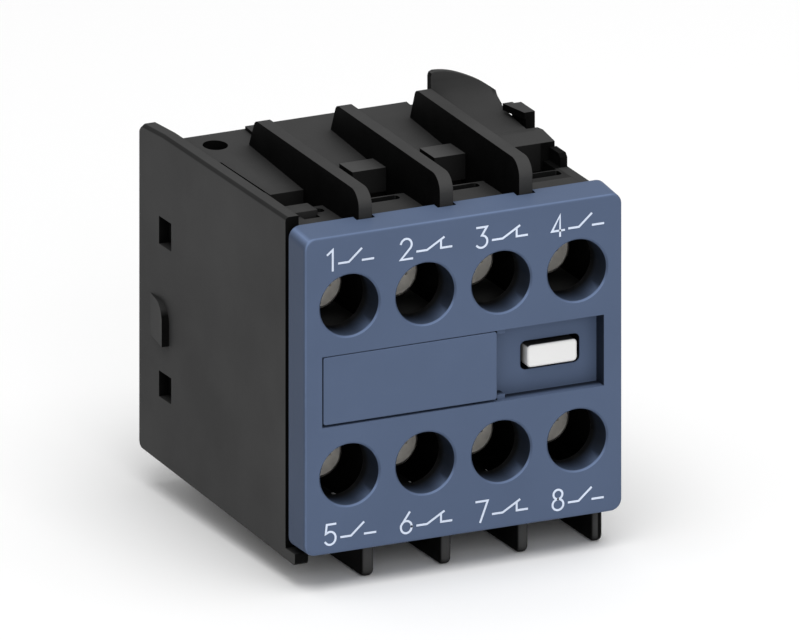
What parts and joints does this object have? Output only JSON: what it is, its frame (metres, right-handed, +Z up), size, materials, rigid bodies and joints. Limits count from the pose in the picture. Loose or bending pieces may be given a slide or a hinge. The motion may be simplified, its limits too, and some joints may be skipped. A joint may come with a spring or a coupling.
{
  "type": "auxiliary contact block",
  "caption": "Clip-on auxiliary contact block with screw terminals: ribbed black housing, blue-grey cover, white position indicator and a thumb lever that releases it.",
  "frame": {"origin": "middle of the rear mounting plane, level with the middle between the two rows of terminal screws", "axes": "+X to the right seen from the front, +Y to the rear into the switch that carries the block, +Z up"},
  "size_m": [0.0376, 0.0444, 0.0439],
  "materials": {
    "black_plastic": "fine moulded texture",
    "blue_plastic": "fine moulded texture",
    "white_plastic": "smooth",
    "brass": "stamped strip",
    "silver": "riveted contact tip",
    "zinc_steel": "zinc plated",
    "spring_steel": "drawn wire",
    "pin_steel": "turned"
  },
  "bodies": {
    "block": {"housing": "black_plastic", "base": "black_plastic", "front_cover": "blue_plastic", "label_plate": "blue_plastic", "fixed_contact_upper_1": "brass", "fixed_contact_upper_2": "brass", "fixed_contact_upper_3": "brass", "fixed_contact_upper_4": "brass", "fixed_contact_lower_1": "brass", "fixed_contact_lower_2": "brass", "fixed_contact_lower_3": "brass", "fixed_contact_lower_4": "brass", "fixed_contact_tips": "silver", "return_spring": "spring_steel", "lever_pin": "pin_steel", "lever_spring": "spring_steel"},
    "carrier": {"contact_carrier": "white_plastic", "contact_spring_1": "spring_steel", "contact_spring_2": "spring_steel", "contact_spring_3": "spring_steel", "contact_spring_4": "spring_steel"},
    "bridge_1": {"contact_bridge_1": "brass", "bridge_tips_1": "silver"},
    "bridge_2": {"contact_bridge_2": "brass", "bridge_tips_2": "silver"},
    "bridge_3": {"contact_bridge_3": "brass", "bridge_tips_3": "silver"},
    "bridge_4": {"contact_bridge_4": "brass", "bridge_tips_4": "silver"},
    "washer_upper_1": {"clamp_washer_upper_1": "zinc_steel"},
    "screw_upper_1": {"terminal_screw_upper_1": "zinc_steel"},
    "washer_upper_2": {"clamp_washer_upper_2": "zinc_steel"},
    "screw_upper_2": {"terminal_screw_upper_2": "zinc_steel"},
    "washer_upper_3": {"clamp_washer_upper_3": "zinc_steel"},
    "screw_upper_3": {"terminal_screw_upper_3": "zinc_steel"},
    "washer_upper_4": {"clamp_washer_upper_4": "zinc_steel"},
    "screw_upper_4": {"terminal_screw_upper_4": "zinc_steel"},
    "washer_lower_1": {"clamp_washer_lower_1": "zinc_steel"},
    "screw_lower_1": {"terminal_screw_lower_1": "zinc_steel"},
    "washer_lower_2": {"clamp_washer_lower_2": "zinc_steel"},
    "screw_lower_2": {"terminal_screw_lower_2": "zinc_steel"},
    "washer_lower_3": {"clamp_washer_lower_3": "zinc_steel"},
    "screw_lower_3": {"terminal_screw_lower_3": "zinc_steel"},
    "washer_lower_4": {"clamp_washer_lower_4": "zinc_steel"},
    "screw_lower_4": {"terminal_screw_lower_4": "zinc_steel"},
    "lever": {"release_lever": "black_plastic"}
  },
  "joints": [
    {"name": "carrier_slide", "type": "slide", "parent": "block", "child": "carrier", "axis": [0, 1, 0], "range_m": [0, 0.004], "stiffness_N_per_m": 250, "springref_m": -0.004, "deforming": ["return_spring"]},
    {"name": "bridge_slide_1", "type": "slide", "parent": "carrier", "child": "bridge_1", "axis": [0, 1, 0], "range_m": [-0.00101, 0], "deforming": ["contact_spring_1"]},
    {"name": "bridge_slide_2", "type": "slide", "parent": "carrier", "child": "bridge_2", "axis": [0, 1, 0], "range_m": [-0.00101, 0], "deforming": ["contact_spring_2"]},
    {"name": "bridge_slide_3", "type": "slide", "parent": "carrier", "child": "bridge_3", "axis": [0, 1, 0], "range_m": [-0.00101, 0], "deforming": ["contact_spring_3"]},
    {"name": "bridge_slide_4", "type": "slide", "parent": "carrier", "child": "bridge_4", "axis": [0, 1, 0], "range_m": [-0.00101, 0], "deforming": ["contact_spring_4"]},
    {"name": "washer_upper_1_travel", "type": "slide", "parent": "block", "child": "washer_upper_1", "axis": [0, 1, 0], "range_m": [0, 0.0036]},
    {"name": "screw_upper_1_turn", "type": "hinge", "parent": "washer_upper_1", "child": "screw_upper_1", "pos_m": [-0.0129, -0.0309, 0.00915], "axis": [0, 1, 0], "range_deg": [0, 2161]},
    {"name": "washer_upper_2_travel", "type": "slide", "parent": "block", "child": "washer_upper_2", "axis": [0, 1, 0], "range_m": [0, 0.0036]},
    {"name": "screw_upper_2_turn", "type": "hinge", "parent": "washer_upper_2", "child": "screw_upper_2", "pos_m": [-0.0043, -0.0309, 0.00915], "axis": [0, 1, 0], "range_deg": [0, 2161]},
    {"name": "washer_upper_3_travel", "type": "slide", "parent": "block", "child": "washer_upper_3", "axis": [0, 1, 0], "range_m": [0, 0.0036]},
    {"name": "screw_upper_3_turn", "type": "hinge", "parent": "washer_upper_3", "child": "screw_upper_3", "pos_m": [0.0043, -0.0309, 0.00915], "axis": [0, 1, 0], "range_deg": [0, 2161]},
    {"name": "washer_upper_4_travel", "type": "slide", "parent": "block", "child": "washer_upper_4", "axis": [0, 1, 0], "range_m": [0, 0.0036]},
    {"name": "screw_upper_4_turn", "type": "hinge", "parent": "washer_upper_4", "child": "screw_upper_4", "pos_m": [0.0129, -0.0309, 0.00915], "axis": [0, 1, 0], "range_deg": [0, 2161]},
    {"name": "washer_lower_1_travel", "type": "slide", "parent": "block", "child": "washer_lower_1", "axis": [0, 1, 0], "range_m": [0, 0.0036]},
    {"name": "screw_lower_1_turn", "type": "hinge", "parent": "washer_lower_1", "child": "screw_lower_1", "pos_m": [-0.0129, -0.0309, -0.00915], "axis": [0, 1, 0], "range_deg": [0, 2161]},
    {"name": "washer_lower_2_travel", "type": "slide", "parent": "block", "child": "washer_lower_2", "axis": [0, 1, 0], "range_m": [0, 0.0036]},
    {"name": "screw_lower_2_turn", "type": "hinge", "parent": "washer_lower_2", "child": "screw_lower_2", "pos_m": [-0.0043, -0.0309, -0.00915], "axis": [0, 1, 0], "range_deg": [0, 2161]},
    {"name": "washer_lower_3_travel", "type": "slide", "parent": "block", "child": "washer_lower_3", "axis": [0, 1, 0], "range_m": [0, 0.0036]},
    {"name": "screw_lower_3_turn", "type": "hinge", "parent": "washer_lower_3", "child": "screw_lower_3", "pos_m": [0.0043, -0.0309, -0.00915], "axis": [0, 1, 0], "range_deg": [0, 2161]},
    {"name": "washer_lower_4_travel", "type": "slide", "parent": "block", "child": "washer_lower_4", "axis": [0, 1, 0], "range_m": [0, 0.0036]},
    {"name": "screw_lower_4_turn", "type": "hinge", "parent": "washer_lower_4", "child": "screw_lower_4", "pos_m": [0.0129, -0.0309, -0.00915], "axis": [0, 1, 0], "range_deg": [0, 2161]},
    {"name": "lever_pivot", "type": "hinge", "parent": "block", "child": "lever", "pos_m": [0.0125, -0.0198, 0.0133], "axis": [1, 0, 0], "range_deg": [-4.5, 0], "stiffness_Nm_per_rad": 0.06, "springref_deg": 6.88, "deforming": ["lever_spring"]}
  ],
  "couplings": [
    {"joint": "bridge_slide_1", "follows": "carrier_slide", "ratio": -0.25},
    {"joint": "bridge_slide_2", "follows": "carrier_slide", "ratio": -0.25},
    {"joint": "bridge_slide_3", "follows": "carrier_slide", "ratio": -0.25},
    {"joint": "bridge_slide_4", "follows": "carrier_slide", "ratio": -0.25},
    {"joint": "screw_upper_1_turn", "follows": "washer_upper_1_travel", "rad_per_m": 10472},
    {"joint": "screw_upper_2_turn", "follows": "washer_upper_2_travel", "rad_per_m": 10472},
    {"joint": "screw_upper_3_turn", "follows": "washer_upper_3_travel", "rad_per_m": 10472},
    {"joint": "screw_upper_4_turn", "follows": "washer_upper_4_travel", "rad_per_m": 10472},
    {"joint": "screw_lower_1_turn", "follows": "washer_lower_1_travel", "rad_per_m": 10472},
    {"joint": "screw_lower_2_turn", "follows": "washer_lower_2_travel", "rad_per_m": 10472},
    {"joint": "screw_lower_3_turn", "follows": "washer_lower_3_travel", "rad_per_m": 10472},
    {"joint": "screw_lower_4_turn", "follows": "washer_lower_4_travel", "rad_per_m": 10472}
  ]
}
